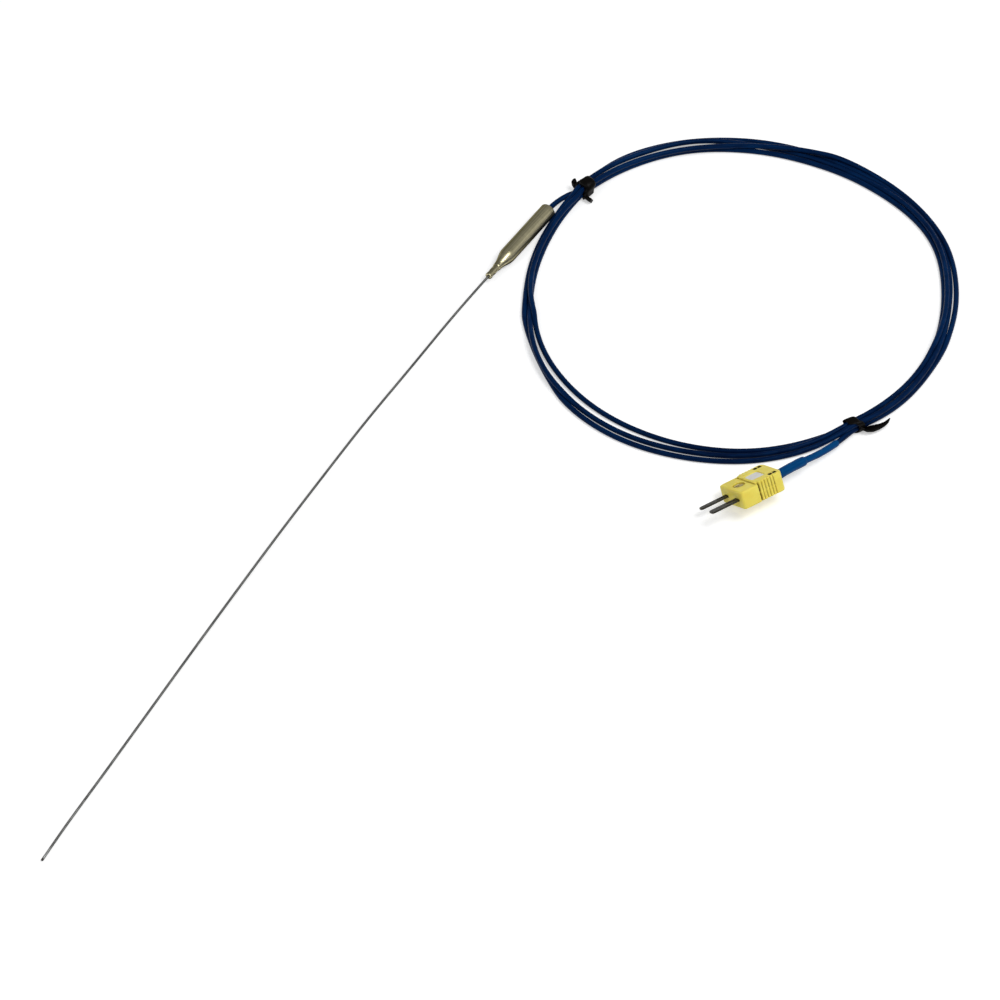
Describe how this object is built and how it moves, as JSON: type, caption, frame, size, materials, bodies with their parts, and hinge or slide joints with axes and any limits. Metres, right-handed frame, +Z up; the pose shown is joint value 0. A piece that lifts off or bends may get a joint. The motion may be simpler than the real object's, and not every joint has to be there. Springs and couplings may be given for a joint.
{
  "type": "thermocouple probe",
  "caption": "Slim metal-sheathed temperature probe with a stepped metal sleeve, a coiled lead held by two ties and a flat two-pin plug.",
  "frame": {"origin": "bottom centre of the box of the sheath and the sleeve, on the surface that the probe lies on", "axes": "+X along the sleeve from the sheath's tip towards the lead, +Z up"},
  "size_m": [0.4997, 0.1857, 0.0143],
  "materials": {
    "sheath_steel": "drawn, dark and satin",
    "pot_steel": "turned, satin",
    "resin": "cast",
    "wire_positive": "drawn",
    "wire_negative": "drawn",
    "fastener_metal": "plated",
    "lead_jacket": "extruded, navy",
    "tie_black": "moulded",
    "sleeve_blue": "shrunk tubing, satin",
    "plug_yellow": "moulded, satin",
    "label_pale": "smooth",
    "pin_alloy": "dark, satin"
  },
  "bodies": {
    "root": {"sheath": "sheath_steel", "transition_pot": "pot_steel", "potting_fill": "resin", "element_wire_positive": "wire_positive", "element_wire_negative": "wire_negative", "splice_positive": "fastener_metal", "splice_negative": "fastener_metal", "lead_core_positive": "wire_positive", "lead_core_negative": "wire_negative", "lead_tube": "lead_jacket", "lead_coil": "lead_jacket", "lead_tail": "lead_jacket", "cable_tie_upper": "tie_black", "cable_tie_lower": "tie_black", "shrink_sleeve_thin": "sleeve_blue", "shrink_sleeve_thick": "sleeve_blue", "plug_base": "plug_yellow", "plug_cover": "plug_yellow", "label_panel": "label_pale", "cover_screw": "fastener_metal", "pin_positive": "pin_alloy", "pin_negative": "pin_alloy", "terminal_screw_positive": "fastener_metal", "terminal_screw_negative": "fastener_metal", "plug_core_positive": "wire_positive", "plug_core_negative": "wire_negative"}
  },
  "joints": []
}
